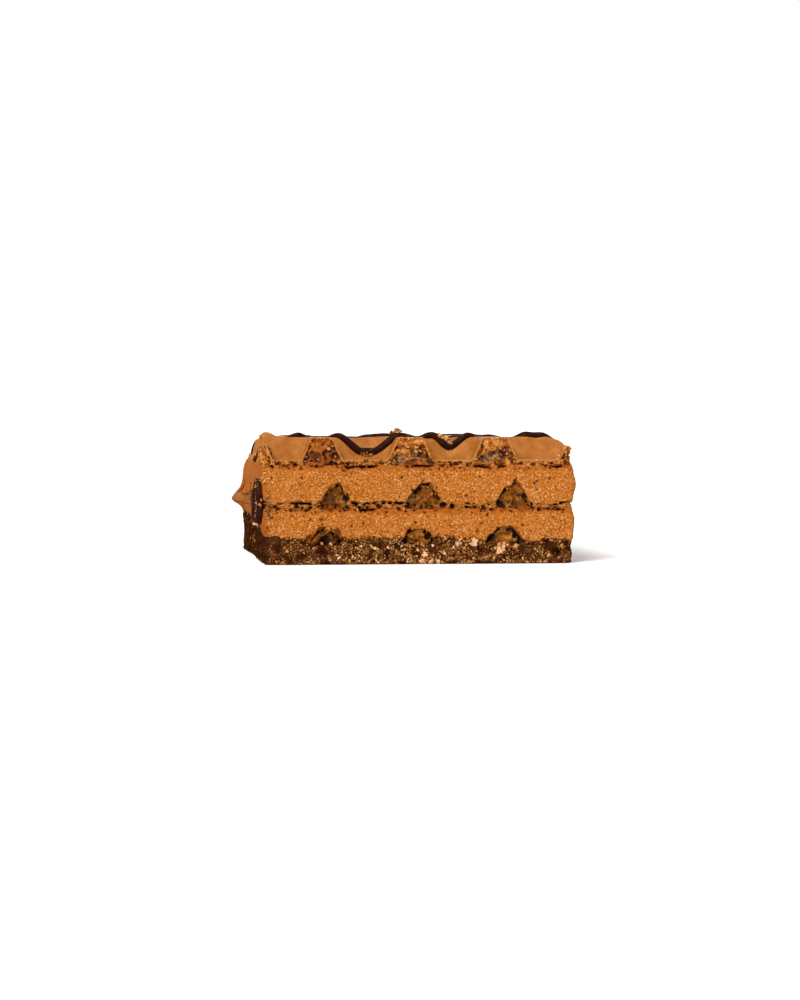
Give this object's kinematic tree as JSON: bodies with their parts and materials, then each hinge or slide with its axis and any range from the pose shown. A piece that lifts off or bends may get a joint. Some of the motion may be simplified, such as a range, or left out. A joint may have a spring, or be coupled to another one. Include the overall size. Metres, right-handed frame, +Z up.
{
  "type": "wafer biscuit",
  "caption": "Rectangular layered wafer biscuit: ribbed wafer sheets with cream between them in a shallow chocolate base, open pits on top with thin chocolate strands.",
  "frame": {"origin": "middle of the underside", "axes": "+Z up through the layers, +X to the right along the cut front face, +Y from the cut front face to the back"},
  "size_m": [0.052, 0.0546, 0.0208],
  "materials": {
    "wafer": "matte, porous, toasted",
    "cream": "matte, fine-grained",
    "chocolate": "satin chocolate dusted with crumbs"
  },
  "bodies": {
    "root": {"chocolate_base": "chocolate", "wafer_bottom": "wafer", "cream_lower": "cream", "wafer_middle": "wafer", "cream_upper": "cream", "wafer_top": "wafer"}
  },
  "joints": []
}
